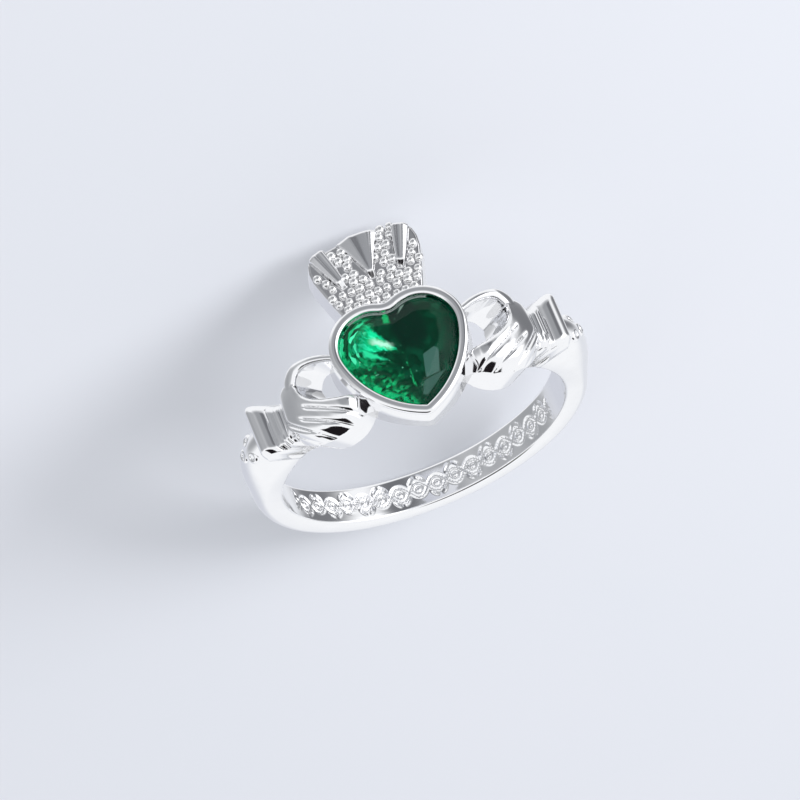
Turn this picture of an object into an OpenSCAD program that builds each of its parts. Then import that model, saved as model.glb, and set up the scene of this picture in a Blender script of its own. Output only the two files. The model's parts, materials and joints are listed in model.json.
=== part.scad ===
// Claddagh ring: two hands hold a crowned, heart-shaped stone in a cast band.
// Each module is drawn in the wearer's frame, in millimetres: +Y runs along the
// finger to the crown, +Z points out through the heart, +X to the right hand,
// with the middle of the finger hole at the origin. laid() then puts the ring
// on its side, resting on the crown's end and on the edge of the band.

/* [Finger hole] */
// Radius of the finger hole
bore_r = 8.6; // [7.6:0.1:10.8]
// Width of the eased inner edge on each side of the band
inner_ease = 0.14; // [0.1:0.02:0.3]
// How much wider the finger hole is at the crown's end than in the band
hole_flare = 0.25; // [0.1:0.05:0.4]

/* [Band] */
// Width of the band under the finger
palm_w = 2.08; // [1.6:0.02:3]
// Thickness of the band under the finger
palm_t = 1.5; // [1.2:0.05:2.2]
// Width of the band at its shoulders
shoulder_w = 2.7; // [2.2:0.05:3.1]
// Thickness of the band at its shoulders
shoulder_t = 2.75; // [2.2:0.05:3]
// Height of the flat edge of the band, below its round back
edge_h = 0.45; // [0.2:0.05:0.8]
// Size of the small raised rings on the shoulders
scroll_r = 0.42; // [0.3:0.02:0.55]
// Height that the shoulder rings stand proud
scroll_h = 0.14; // [0.08:0.01:0.2]

/* [Cuffs] */
// Width of the cuffs along the finger
cuff_w = 3.2; // [2.8:0.05:3.8]
// Length of a cuff around the finger
cuff_len = 2.2; // [1.8:0.05:2.6]
// Height of a cuff's outer ridge above the finger hole
cuff_h = 2.9; // [2.7:0.05:3.3]
// Depth of the hollow between a cuff's ridges
cuff_hollow = 0.45; // [0.2:0.05:0.7]

/* [Hands] */
// Length of a hand around the finger, from heart to cuff
hand_len = 5.45; // [4.8:0.05:6]
// How far the fingertips reach in past the heart's widest point
hand_lap = 0.47; // [0.3:0.01:0.7]
// Thickness of a hand above the finger hole
hand_t = 2.95; // [2.5:0.05:3.2]
// How far the fingers reach below the middle of the band
finger_drop = 2.85; // [2.4:0.05:3.2]
// How far the thumb rises above the middle of the band
thumb_rise = 2.15; // [2:0.05:2.6]
// Depth of the grooves between the fingers
groove_d = 0.34; // [0.1:0.02:0.5]
// Width of the grooves between the fingers
groove_w = 0.16; // [0.1:0.02:0.24]

/* [Heart] */
// Radius of the heart's two lobes
lobe_r = 2.345; // [2:0.05:2.8]
// Distance of a lobe's middle from the heart's centre line
lobe_x = 1.41; // [1.2:0.05:1.7]
// Height of the lobes' middles above the middle of the band
lobe_y = 1.22; // [0.9:0.02:1.5]
// Distance of the heart's tip below the middle of the band
tip_drop = 3.58; // [3.2:0.05:4]
// Radius of the heart's long sides
side_r = 5.9; // [5.2:0.1:7]
// Radius of the heart's tip
tip_r = 0.45; // [0.3:0.05:0.7]
// Radius of the hollow between the lobes
cleft_r = 1.1; // [0.8:0.05:1.8]
// Height of the bezel's rim above the finger hole
rim_h = 1.76; // [1.6:0.02:2.2]
// Width of the bezel's rim
rim_w = 0.47; // [0.4:0.01:0.6]
// How far the bezel's wall spreads at its foot
bezel_flare = 0.2; // [0:0.05:0.4]

/* [Stone] */
// Gap between the stone and the metal
stone_gap = 0.06; // [0.04:0.01:0.1]
// Depth of the stone's girdle below the rim
girdle_drop = 0.34; // [0.3:0.02:0.5]
// Thickness of the stone's girdle
girdle_t = 0.12; // [0.08:0.02:0.2]
// Height of the stone's facets above the girdle
facet_h = 0.5; // [0.3:0.02:0.7]
// Width of the ring of facets around the table
facet_w = 1.05; // [0.8:0.05:1.2]
// Depth of the stone below the girdle
pavilion_h = 0.95; // [0.7:0.05:1]

/* [Crown] */
// Length of the crown above the heart
crown_len = 4.4; // [4:0.05:5]
// Width of the crown at its widest
crown_w = 6.3; // [5.8:0.05:6.8]
// Thickness of the crown's beaded plate above the finger hole
plate_t = 1.42; // [1.2:0.02:1.6]
// How far the crown's wall spreads at its foot
crown_flare = 0.15; // [0:0.05:0.4]
// Width of the middle ray at the crown's end
mid_ray_w = 2.5; // [2:0.05:2.8]
// Width of a side ray at the crown's end
side_ray_w = 1.2; // [0.8:0.05:1.4]
// Height of the rays above the plate at the crown's end
ray_h = 0.42; // [0.25:0.02:0.6]
// Diameter of the beads
bead_d = 0.4; // [0.3:0.02:0.44]
// Distance between the beads
bead_pitch = 0.54; // [0.48:0.02:0.7]

/* [Hidden] */
$fn = 48;

// Depth inside the finger hole to which the cast parts run before the hole is cut
root = 0.3;
// Distance that one fused part runs into the next
weld = 0.3;
silver = [0.87, 0.88, 0.9];
emerald = [0.02, 0.5, 0.24];

// Small helpers
function mix(a, b, s) = a + (b - a) * s;
function ease(s) = let (c = min(1, max(0, s))) c * c * (3 - 2 * c);
function arc_deg(len, r) = len / r * 180 / PI;
// Point on a circle around c
function on_circle(c, r, a) = c + r * [cos(a), sin(a)];
// Point at an angle from the heart, at a radius and a place along the finger
function around(a, r, y) = [r * sin(a), y, r * cos(a)];
// Value of column col at key s, between the rows of a table sorted by its first column
function column(table, s, col, i = 0) =
    s <= table[0][0] ? table[0][col] :
    i + 2 > len(table) ? table[i][col] :
    s > table[i + 1][0] ? column(table, s, col, i + 1) :
    mix(table[i][col], table[i + 1][col],
        (s - table[i][0]) / (table[i + 1][0] - table[i][0]));

// Closed solid through a list of sections, each with the same even number of points.
// Its two ends are strips across the section, from one side to the other.
module loft(sections) {
    rows = len(sections);
    n = len(sections[0]);
    last = (rows - 1) * n;
    strips = [for (i = [0:n / 2 - 2]) [i, i + 1, n - 2 - i, n - 1 - i]];
    polyhedron(
        points = [for (row = sections) each row],
        faces = concat(
            [for (i = [0:rows - 2], j = [0:n - 1])
                let (k = (j + 1) % n) each [
                    [i * n + j, i * n + k, (i + 1) * n + k],
                    [i * n + j, (i + 1) * n + k, (i + 1) * n + j]]],
            [for (s = strips) [s[3], s[2], s[1], s[0]]],
            [for (s = strips) [for (j = s) last + j]]));
}

// Heart outline
lobe = [lobe_x, lobe_y];
cleft = [0, lobe_y + sqrt(pow(lobe_r + cleft_r, 2) - lobe_x * lobe_x)];
tip = [0, tip_r - tip_drop];
// Middle of the long right side: it touches the lobe and the tip from outside
side = let (
    d = norm(tip - lobe),
    r0 = side_r - lobe_r,
    r1 = side_r - tip_r,
    a = (r0 * r0 - r1 * r1 + d * d) / (2 * d),
    h = sqrt(r0 * r0 - a * a),
    u = (tip - lobe) / d)
    lobe + a * u + h * [u[1], -u[0]];
lobe_from = atan2(cleft[1] - lobe[1], cleft[0] - lobe[0]);
lobe_to = atan2(lobe[1] - side[1], lobe[0] - side[0]);
min_tip_r = 0.06;

// Right half of the outline, moved inwards by inset, from the cleft to the tip.
// steps gives the number of points on the cleft, the lobe, the side and the tip.
function half_heart(inset, steps) = let (
    rt = max(tip_r - inset, min_tip_r),
    rs = side_r - inset,
    t = [0, side[1] - sqrt(pow(rs - rt, 2) - side[0] * side[0])],
    side_to = atan2(t[1] - side[1], -side[0]))
    concat(
        [for (i = [0:steps[0] - 1])
            on_circle(cleft, cleft_r + inset, mix(-90, lobe_from - 180, i / steps[0]))],
        [for (i = [0:steps[1] - 1])
            on_circle(lobe, lobe_r - inset, mix(lobe_from, lobe_to, i / steps[1]))],
        [for (i = [0:steps[2] - 1])
            on_circle(side, rs, mix(lobe_to, side_to, i / steps[2]))],
        [for (i = [0:steps[3]])
            on_circle(t, rt, mix(side_to, -90, i / steps[3]))]);

// Whole outline, counter-clockwise from the cleft
function heart(inset, steps) = let (half = half_heart(inset, steps), n = len(half))
    concat(
        [for (i = [0:n - 1]) [-half[i][0], half[i][1]]],
        [for (i = [n - 2:-1:1]) half[i]]);

fine = [3, 12, 8, 3];
function level(inset, z, steps = fine) = [for (p = heart(inset, steps)) [p[0], p[1], z]];

// Levels of the heart's setting
rim_z = bore_r + rim_h;
girdle_inset = rim_w - 0.5 * stone_gap;
girdle_z = rim_z - girdle_drop;
culet_z = girdle_z - girdle_t - pavilion_h;
seat_z = culet_z - stone_gap;
heart_half_w = lobe_x + lobe_r;
heart_top = lobe_y + lobe_r;

// Band: a flat-edged section with a round back, swept around the finger
thick_from = 92;
thick_to = 58;
band_steps = 48;
band_arc = 9;
hand_r = bore_r + hand_t;
hand_from = asin((heart_half_w - hand_lap) / (bore_r + rim_h));
hand_to = hand_from + arc_deg(hand_len, hand_r);
cuff_from = hand_to - arc_deg(weld, hand_r);
cuff_to = cuff_from + arc_deg(cuff_len, bore_r + cuff_h);
function shoulder(a) = ease((thick_from - a) / (thick_from - thick_to));
function band_section(a) = let (
    s = shoulder(min(a, 360 - a)),
    w = mix(palm_w, shoulder_w, s) / 2,
    t = mix(palm_t, shoulder_t, s),
    r = bore_r + edge_h)
    concat(
        [around(a, bore_r - root, -w)],
        [for (i = [0:band_arc]) let (b = 180 * i / band_arc)
            around(a, r + (t - edge_h) * sin(b), -w * cos(b))],
        [around(a, bore_r - root, w)]);

module band() {
    from = mix(cuff_from, cuff_to, 0.84);
    loft([for (i = [0:band_steps]) band_section(mix(from, 360 - from, i / band_steps))]);
}

// Raised rings on one shoulder, three in a row along the band
module scrolls() {
    middle = cuff_to + arc_deg(3.4 * scroll_r, bore_r + shoulder_t);
    wire = 0.4 * scroll_r;
    for (place = [[-1.16, -0.9], [1.16, -0.9], [0, 0.9]]) {
        a = middle + arc_deg(place[1] * scroll_r, bore_r + shoulder_t);
        s = shoulder(a);
        r = bore_r + mix(palm_t, shoulder_t, s);
        y = place[0] * scroll_r;
        w = mix(palm_w, shoulder_w, s) / 2;
        drop = (mix(palm_t, shoulder_t, s) - edge_h) * (1 - sqrt(1 - pow(y / w, 2)));
        rotate([0, a, 0])
            translate([0, y, r - drop - wire + scroll_h])
                rotate([-atan(0.8 * y / w), 0, 0])
                    rotate_extrude()
                        translate([scroll_r - wire, 0]) circle(wire);
    }
}

// Cuff: ridges that run along the finger, with a hollow between them.
// Columns: share of the cuff's length, height as a share of cuff_h, share of
// cuff_hollow cut away, lower and upper end as shares of cuff_w
cuff_rows = [
    [0.00, 0.85, 0.0, -0.50, 0.28],
    [0.10, 0.88, 0.0, -0.50, 0.30],
    [0.24, 0.88, 0.8, -0.47, 0.35],
    [0.48, 0.92, 1.0, -0.43, 0.44],
    [0.70, 0.97, 0.5, -0.39, 0.53],
    [0.80, 1.00, 0.0, -0.37, 0.57],
    [0.92, 0.99, 0.0, -0.35, 0.62],
    [1.00, 0.93, 0.0, -0.35, 0.62]];
cuff_edge = 0.16;
function cuff_section(row) = let (
    a = mix(cuff_from, cuff_to, row[0]),
    r = bore_r + cuff_h * row[1] - cuff_hollow * row[2],
    low = cuff_w * row[3],
    high = cuff_w * row[4])
    [for (p = [
        [bore_r - root, low],
        [r - cuff_edge, low],
        [r - 0.3 * cuff_edge, low + 0.3 * cuff_edge],
        [r, low + cuff_edge],
        [r, high - cuff_edge],
        [r - 0.3 * cuff_edge, high - 0.3 * cuff_edge],
        [r - cuff_edge, high],
        [bore_r - root, high]]) around(a, p[0], p[1])];
module cuff() {
    loft([for (row = cuff_rows) cuff_section(row)]);
}

// Hand: columns are the share of the hand's length from heart to cuff, the lower
// edge as a share of finger_drop, the upper edge as a share of thumb_rise, and
// the thickness as a share of hand_t
hand_rows = [
    [-0.18, -0.62, -0.42, 0.42],
    [-0.05, -0.66, -0.38, 0.50],
    [ 0.00, -0.72, -0.36, 0.70],
    [ 0.06, -0.84, -0.34, 0.80],
    [ 0.14, -0.92, -0.31, 0.86],
    [ 0.25, -0.98, -0.25, 0.91],
    [ 0.36, -1.00, -0.18, 0.95],
    [ 0.44, -1.00, -0.08, 0.98],
    [ 0.49, -0.99,  0.04, 0.99],
    [ 0.53, -0.98,  0.22, 0.99],
    [ 0.56, -0.97,  0.48, 0.99],
    [ 0.62, -0.94,  0.66, 0.98],
    [ 0.72, -0.87,  0.70, 0.96],
    [ 0.82, -0.77,  0.62, 0.92],
    [ 0.92, -0.65,  0.48, 0.87],
    [ 1.06, -0.52,  0.34, 0.83]];
// Grooves between the fingers: place at the heart as a share of finger_drop,
// the change of that place over the hand's length, and the share where it ends
groove_rows = [
    [-0.62, 0.75, 0.52],
    [-1.00, 1.03, 0.62],
    [-1.82, 1.85, 0.82]];
hand_points = 27;
crest = 0.62;
lower_fall = 0.42;
upper_fall = 0.12;
function hand_angle(s) = mix(hand_from, hand_to, s);
// Share of the crest's height that is lost towards either edge
function fall(v) = v < crest ? lower_fall * pow((crest - v) / crest, 2.2)
    : upper_fall * pow((v - crest) / (1 - crest), 2);
function grooves(s, y) = groove_d * max([for (g = groove_rows)
    exp(-pow((y - (g[0] + g[1] * s) * finger_drop) / groove_w, 2))
        * ease((g[2] - s) / 0.12) * ease((s - hand_rows[0][0]) / 0.08)]);
function hand_section(s) = let (
    a = hand_angle(s),
    low = column(hand_rows, s, 1) * finger_drop,
    high = column(hand_rows, s, 2) * thumb_rise,
    t = column(hand_rows, s, 3) * hand_t)
    concat(
        [around(a, bore_r - root, low), around(a, bore_r + root / 2, low)],
        [for (i = [0:hand_points]) let (v = i / hand_points, y = mix(low, high, v))
            around(a, bore_r + t * (1 - fall(v)) - grooves(s, y), y)],
        [around(a, bore_r + root / 2, high), around(a, bore_r - root, high)]);

// Thumb: columns are the share of the hand's length, the inner and the outer
// edge as shares of thumb_rise, and the thickness as a share of hand_t
thumb_rows = [
    [-0.10, 0.46, 0.66, 0.66],
    [ 0.00, 0.52, 0.71, 0.70],
    [ 0.10, 0.62, 0.81, 0.74],
    [ 0.22, 0.71, 0.92, 0.81],
    [ 0.34, 0.75, 0.98, 0.88],
    [ 0.44, 0.70, 1.00, 0.93],
    [ 0.50, 0.58, 0.99, 0.95],
    [ 0.56, 0.45, 0.96, 0.96],
    [ 0.66, 0.38, 0.88, 0.95],
    [ 0.78, 0.25, 0.73, 0.92],
    [ 0.90, 0.12, 0.53, 0.87]];
thumb_arc = 7;
function thumb_section(row) = let (
    a = hand_angle(row[0]),
    inner = row[1] * thumb_rise,
    outer = row[2] * thumb_rise,
    half = (outer - inner) / 2,
    r = bore_r + row[3] * hand_t - half)
    concat(
        [around(a, bore_r - root, inner)],
        [for (i = [0:thumb_arc]) let (b = 180 * i / thumb_arc)
            around(a, r + half * sin(b), (inner + outer) / 2 - half * cos(b))],
        [around(a, bore_r - root, outer)]);

module hand() {
    loft([for (row = hand_rows) hand_section(row[0])]);
    loft([for (row = thumb_rows) thumb_section(row)]);
}

// Bezel: a wall with a rolled rim around the stone, closed by a floor.
// The section runs down the outside, then up the inside to the rim
roll = 0.2;
module bezel() {
    foot_z = sqrt(bore_r * bore_r - heart_half_w * heart_half_w) - weld;
    pavilion_inset = girdle_inset - stone_gap + facet_w * 0.5;
    lip_z = girdle_z + stone_gap;
    section = [
        [0, rim_z - 1.2 * roll],
        [0.25 * roll, rim_z - 0.5 * roll],
        [0.7 * roll, rim_z - 0.1 * roll],
        [1.25 * roll, rim_z],
        [1.8 * roll, rim_z - 0.2 * roll],
        [rim_w, rim_z - 0.7 * roll],
        [rim_w, lip_z],
        [girdle_inset - stone_gap, lip_z],
        [girdle_inset - stone_gap, girdle_z - girdle_t - stone_gap],
        [pavilion_inset, seat_z - stone_gap],
        [pavilion_inset, foot_z],
        [-bezel_flare, foot_z],
        [-0.1 * bezel_flare, rim_z - 3 * roll]];
    n = len(heart(0, fine));
    m = len(section);
    polyhedron(
        points = [for (c = section) each level(c[0], c[1])],
        faces = [for (i = [0:m - 1], j = [0:n - 1])
            let (i2 = (i + 1) % m, j2 = (j + 1) % n) each [
                [i * n + j, i2 * n + j2, i * n + j2],
                [i * n + j, i2 * n + j, i2 * n + j2]]]);
    translate([0, 0, foot_z])
        linear_extrude(seat_z - foot_z) polygon(heart(pavilion_inset - weld, fine));
}

// Crown outline: half width as a share of half crown_w, and height above the
// heart as a share of crown_len
crown_rows = [
    [0.74, -0.42],
    [0.76, 0.02],
    [0.83, 0.16],
    [1.00, 0.58],
    [1.01, 0.72],
    [0.98, 0.82],
    [0.93, 0.88],
    [0.78, 0.91],
    [0.58, 0.95],
    [0.38, 0.99],
    [0.28, 1.00]];
crown_side = [for (row = crown_rows) [row[0] * crown_w / 2, heart_top + row[1] * crown_len]];
crown_top = heart_top + crown_len;
plate_z = bore_r + plate_t;

// The outline's right side moved outwards by d
function spread(d) = let (p = crown_side, n = len(p)) [for (i = [0:n - 1])
    let (u = p[min(i + 1, n - 1)] - p[max(i - 1, 0)]) p[i] + d * [u[1], -u[0]] / norm(u)];
function both_sides(right) = concat(right,
    [for (i = [len(right) - 1:-1:0]) [-right[i][0], right[i][1]]]);
crown_foot = spread(crown_flare);

// Rays: columns are the apex and the end of the ray's middle line, as shares of
// half crown_w across and of crown_len above the heart
mid_ray = [[0, 0.34], [0, 1]];
side_ray = [[0.55, 0.34], [0.87, 0.91]];
function crown_place(p) = [p[0] * crown_w / 2, heart_top + p[1] * crown_len];

// Leaning cone that rises out of the plate from a ray's apex to its end. Its top
// line climbs to ray_h, and it meets the plate end_w wide there.
module ray(line, end_w) {
    from = crown_place(line[0]);
    to = crown_place(line[1]);
    run = norm(to - from);
    climb = atan(ray_h / run);
    half_foot = atan(end_w / 2 / run);
    lean_in = atan((cos(climb) - cos(half_foot)) / sin(climb));
    past = 1.25;
    translate([from[0], from[1], plate_z])
        rotate([0, 0, atan2(to[1] - from[1], to[0] - from[0])])
            rotate([0, 90 + lean_in, 0])
                cylinder(h = past * run, r1 = 0, r2 = past * run * tan(lean_in + climb), $fn = 72);
}

// Beads on the plate, in offset rows, clear of the rays, the edge and the heart
function half_width(y, i = 1) =
    i + 1 >= len(crown_side) || y <= crown_side[i + 1][1] ?
        mix(crown_side[i][0], crown_side[i + 1][0],
            (y - crown_side[i][1]) / (crown_side[i + 1][1] - crown_side[i][1])) :
        half_width(y, i + 1);
// Distance outside a ray's foot
function off_ray(p, line, end_w) = let (
    from = crown_place(line[0]),
    to = crown_place(line[1]),
    u = (to - from) / norm(to - from),
    q = p - from,
    along = q * u)
    along < 0 ? norm(q) : abs(q[0] * u[1] - q[1] * u[0]) - along / norm(to - from) * end_w / 2;
function bead_fits(p) = let (m = 0.42 * bead_d) p[1] < heart_top + 0.955 * crown_len
    && abs(p[0]) < half_width(p[1]) - m
    && norm([abs(p[0]) - lobe_x, p[1] - lobe_y]) > lobe_r + m
    && off_ray(p, mid_ray, mid_ray_w) > m
    && off_ray([abs(p[0]), p[1]], side_ray, side_ray_w) > m;
module beads() {
    rows = ceil(crown_len / (bead_pitch * 0.87)) + 1;
    cols = ceil(crown_w / 2 / bead_pitch);
    for (j = [0:rows], i = [-cols:cols]) {
        p = [(i + (j % 2) / 2) * bead_pitch, heart_top - weld + j * bead_pitch * 0.87];
        if (bead_fits(p))
            translate([p[0], p[1], plate_z + 0.1 * bead_d]) sphere(d = bead_d, $fn = 24);
    }
}

module crown() {
    foot_z = sqrt(pow(bore_r, 2) - pow(crown_w / 2, 2)) - weld;
    levels = [[0, plate_z], [0.2 * crown_flare, plate_z - 0.1 * plate_t], [crown_flare, foot_z]];
    loft([for (l = levels) [for (p = both_sides(spread(l[0]))) [p[0], p[1], l[1]]]]);
    intersection() {
        union() {
            ray(mid_ray, mid_ray_w);
            ray(side_ray, side_ray_w);
            mirror([1, 0, 0]) ray(side_ray, side_ray_w);
        }
        translate([0, 0, plate_z - 2 * ray_h])
            linear_extrude(6 * ray_h) polygon(both_sides(crown_side));
    }
    beads();
}

// Finger hole: straight in the band, then a little wider towards both ends
straight = palm_w / 2 - inner_ease;
hole_slope = hole_flare / (crown_top - straight);
function hole_r(y) = bore_r + hole_slope * max(0, abs(y) - straight);
module finger_hole() {
    past = 2 * crown_top;
    rotate([90, 0, 0])
        rotate_extrude($fn = 96)
            polygon([[0, -past], [hole_r(past), -past], [bore_r, -straight],
                [bore_r, straight], [hole_r(past), past], [0, past]]);
}

// Lean of the ring as it lies: the floor touches the crown's end and the band's
// edge, so both reach equally far down. Bisection between two angles.
function crown_reach(a) = max([for (p = crown_foot)
    cos(a) * p[1] - sin(a) * sqrt(pow(hole_r(p[1]), 2) - p[0] * p[0])]);
function band_reach(a) = max([for (i = [0:band_arc]) let (b = 180 * i / band_arc)
    sin(a) * (bore_r + edge_h + (palm_t - edge_h) * sin(b)) - cos(a) * palm_w / 2 * cos(b)]);
function find_lean(low, high, n = 30) = let (m = (low + high) / 2)
    n == 0 ? m :
    crown_reach(m) > band_reach(m) ? find_lean(m, high, n - 1) : find_lean(low, m, n - 1);
lean = find_lean(0, 60);
module laid() {
    rotate([90 - lean, 0, 0]) rotate([0, 0, 180]) children();
}

module ring_body() {
    color(silver) laid() difference() {
        union() {
            band();
            bezel();
            // The hands and the crown end inside the bezel's wall
            difference() {
                union() {
                    crown();
                    for (m = [0, 1]) mirror([m, 0, 0]) hand();
                }
                linear_extrude(2 * rim_z) polygon(heart(rim_w / 2, fine));
            }
            for (m = [0, 1]) mirror([m, 0, 0]) {
                cuff();
                scrolls();
            }
        }
        finger_hole();
    }
}

// Heart-cut stone: a flat table, a ring of facets, a girdle and a faceted back
coarse = [1, 6, 4, 1];
module heart_stone() {
    table = heart(girdle_inset + facet_w, coarse);
    girdle = heart(girdle_inset, coarse);
    n = len(girdle);
    half = n / 2;
    middle = [0, 0.2 * heart_top];
    keel = [for (p = girdle) mix(middle, p, 0.22)];
    table_z = girdle_z + facet_h;
    function flat(points, z) = [for (p = points) [p[0], p[1], z]];
    function every_second(points) = [for (i = [0:half - 1]) points[2 * i]];
    // Numbers of the points: girdle top, girdle bottom, table, keel
    function top(i) = (i + n) % n;
    function low(i) = n + (i + n) % n;
    function tab(i) = 2 * n + (i + half) % half;
    function back(i) = 2 * n + half + (i + half) % half;
    color(emerald) laid() polyhedron(
        points = concat(flat(girdle, girdle_z), flat(girdle, girdle_z - girdle_t),
            flat(every_second(table), table_z), flat(every_second(keel), culet_z)),
        faces = concat(
            [[for (i = [half - 1:-1:0]) tab(i)]],
            [[for (i = [0:half - 1]) back(i)]],
            [for (i = [0:n - 1]) [top(i), top(i + 1), low(i + 1), low(i)]],
            [for (i = [0:half - 1]) each [
                [tab(i), tab(i + 1), top(2 * i + 1)],
                [tab(i), top(2 * i + 1), top(2 * i)],
                [tab(i), top(2 * i), top(2 * i - 1)]]],
            [for (i = [0:half - 1]) each [
                [back(i + 1), back(i), low(2 * i + 1)],
                [back(i), low(2 * i), low(2 * i + 1)],
                [back(i), low(2 * i - 1), low(2 * i)]]]));
}

ring_body();
heart_stone();
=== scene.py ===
"""Claddagh ring in polished silver with a heart-cut green stone, lying on a pale floor.

Lengths are in millimetres in the wearer's frame: +Y runs along the finger to the
crown, +Z points out through the heart, +X to the right hand. laid() turns them into
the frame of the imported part, and MM makes metres of them.
"""
import json
import math

import bpy
import numpy as np
from mathutils import Matrix, Vector

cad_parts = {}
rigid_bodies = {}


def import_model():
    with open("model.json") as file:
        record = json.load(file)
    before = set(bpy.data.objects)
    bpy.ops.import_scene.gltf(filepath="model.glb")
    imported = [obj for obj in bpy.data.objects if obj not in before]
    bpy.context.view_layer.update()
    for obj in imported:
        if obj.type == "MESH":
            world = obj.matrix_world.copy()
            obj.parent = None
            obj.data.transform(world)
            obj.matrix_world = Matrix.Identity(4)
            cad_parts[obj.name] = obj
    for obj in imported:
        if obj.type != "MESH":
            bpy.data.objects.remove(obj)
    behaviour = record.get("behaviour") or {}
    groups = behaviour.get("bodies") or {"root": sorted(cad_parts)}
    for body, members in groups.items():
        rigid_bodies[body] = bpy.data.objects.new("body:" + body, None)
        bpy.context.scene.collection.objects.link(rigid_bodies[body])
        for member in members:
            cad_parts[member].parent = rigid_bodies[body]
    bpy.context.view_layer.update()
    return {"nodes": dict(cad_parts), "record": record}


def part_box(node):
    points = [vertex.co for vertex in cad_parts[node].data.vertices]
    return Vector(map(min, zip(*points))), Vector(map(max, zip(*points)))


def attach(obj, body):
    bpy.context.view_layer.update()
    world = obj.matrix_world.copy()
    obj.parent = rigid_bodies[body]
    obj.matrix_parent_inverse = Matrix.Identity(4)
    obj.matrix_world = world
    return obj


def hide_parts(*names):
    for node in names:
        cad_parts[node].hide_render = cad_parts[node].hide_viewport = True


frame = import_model()

MM = 0.001
bore = frame["record"]["mounts"][0]
AXIS = Vector(bore["axis"]).normalized()
FLOOR_Z = min(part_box(node)[0].z for node in frame["nodes"])

# Rows of the turn from the wearer's frame to the part's frame
LAID = np.array([[-1, 0, 0], [0, -AXIS.y, -AXIS.z], [0, -AXIS.z, AXIS.y]])


def laid(points):
    """Points or directions of the wearer's frame, turned as the ring lies."""
    return np.asarray(points, float) @ LAID.T


# Finger hole and band
BORE_R = bore["dims"]["r_mm"]
STRAIGHT = bore["dims"]["length_mm"] / 2
INNER_EASE = 0.18
PALM_W, PALM_T = 2.5, 1.62
SHOULDER_W, SHOULDER_T = 2.7, 2.75
EDGE_H = 0.95
FLOOR_SIDE_W, FLOOR_SIDE_H = 2.04, 0.45
SHOULDER_SIDE_H = 0.6

# Angles from the heart in degrees between which the band grows to the shoulder's size, and
# the share of a cuff's length where the band starts inside it
THICK_FROM, THICK_TO = 92, 58
BAND_START = 0.84

# Pattern engraved inside the palm
PATTERN_REACH, PATTERN_FADE, PATTERN_D = 9.9, 0.4, 0.11
PATTERN_PITCH, PATTERN_SHIFT = 2.3, 0.1
STEM_SWAY, STEM_W = 0.46, 0.2
LEAF_AHEAD, LEAF_ACROSS, LEAF_W, LEAF_SLIM = 0.32, 0.55, 0.18, 2.3
LEAF_COS, LEAF_SIN = 0.8, 0.6
BUD_R, BUD_W = 0.2, 0.13

# Angle from the heart in degrees past which the band has finer points, for the pattern
FINE_FROM = 114

# Heart, as lobes, long sides, tip and cleft
LOBE_R, LOBE_X, LOBE_Y = 2.345, 1.41, 1.22
TIP_DROP, TIP_R, LEAST_TIP_R = 3.58, 0.45, 0.06
SIDE_R, CLEFT_R = 5.9, 1.1
HEART_HALF_W = LOBE_X + LOBE_R
HEART_TOP = LOBE_Y + LOBE_R

# Setting and its rim
RIM_Z = BORE_R + 1.76
RIM_OUT, RIM_W, RIM_ROLL, BEZEL_FLARE = 0.2, 0.385, 0.24, 0.32

# Stone
STONE_GAP = 0.06
GIRDLE_INSET = RIM_W - 0.5 * STONE_GAP
GIRDLE_Z = RIM_Z - 0.34
GIRDLE_T = 0.12
FACET_H, FACET_W = 0.5, 1.05
PAVILION_H = 0.95
CULET_Z = GIRDLE_Z - GIRDLE_T - PAVILION_H
SEAT_Z = CULET_Z - STONE_GAP
SEAT_INSET = GIRDLE_INSET - STONE_GAP + 0.5 * FACET_W

# How far pieces reach into each other, and how fine the skin is where they are cast in one
WELD, SKIN_VOXEL = 0.3, 0.042

# Hands and cuffs
HAND_T, HAND_LEN, HAND_LAP = 2.95, 5.45, 0.47
FINGER_DROP, THUMB_RISE = 2.85, 2.15
CUFF_W, CUFF_LEN, CUFF_H = 3.2, 2.2, 2.9

# Small rings on each shoulder: how far their middle is past the cuff, and the place of
# each across the band and towards the palm, all as shares of RING_R
RING_R = 0.42
RING_WIRE = 0.4 * RING_R
RING_LIFT = 0.05
RINGS_PAST_CUFF = 3.4
RING_PLACES = ((-1.16, -0.9), (1.16, -0.9), (0, 0.9))

# Crown
CROWN_LEN, CROWN_W = 4.4, 6.3
PLATE_T, CROWN_FLARE = 1.42, 0.15
MID_RAY_W, SIDE_RAY_W, RAY_H = 2.5, 1.05, 0.45
BEAD_D, BEAD_PITCH, BEAD_ROW = 0.54, 0.57, 0.87
BEAD_MARGIN, BEAD_LIFT = 0.02, 0.05
CROWN_TOP = HEART_TOP + CROWN_LEN
HOLE_FLARE = 0.25


def arc_deg(length, radius):
    """Degrees that a length takes up along a circle."""
    return math.degrees(length / radius)


HAND_FROM = math.degrees(math.asin((HEART_HALF_W - HAND_LAP) / RIM_Z))
HAND_TO = HAND_FROM + arc_deg(HAND_LEN, BORE_R + HAND_T)
CUFF_FROM = HAND_TO - arc_deg(WELD, BORE_R + HAND_T)
CUFF_TO = CUFF_FROM + arc_deg(CUFF_LEN, BORE_R + CUFF_H)


def mix(a, b, share):
    """Value at a share of the way from a to b."""
    return a + (b - a) * share


def ease(share):
    """Smooth step from 0 to 1."""
    c = np.clip(share, 0, 1)
    return c * c * (3 - 2 * c)


def around(angle, radius, along):
    """Points at an angle from the heart in degrees, at a radius and a place along the finger."""
    a = np.radians(angle)
    return np.stack(np.broadcast_arrays(radius * np.sin(a), along, radius * np.cos(a)), -1)


def hole_r(along):
    """Radius of the finger hole: straight in the band, then wider towards both ends."""
    slope = HOLE_FLARE / (CROWN_TOP - STRAIGHT)
    return BORE_R + slope * np.maximum(0, np.abs(along) - STRAIGHT)


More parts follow.
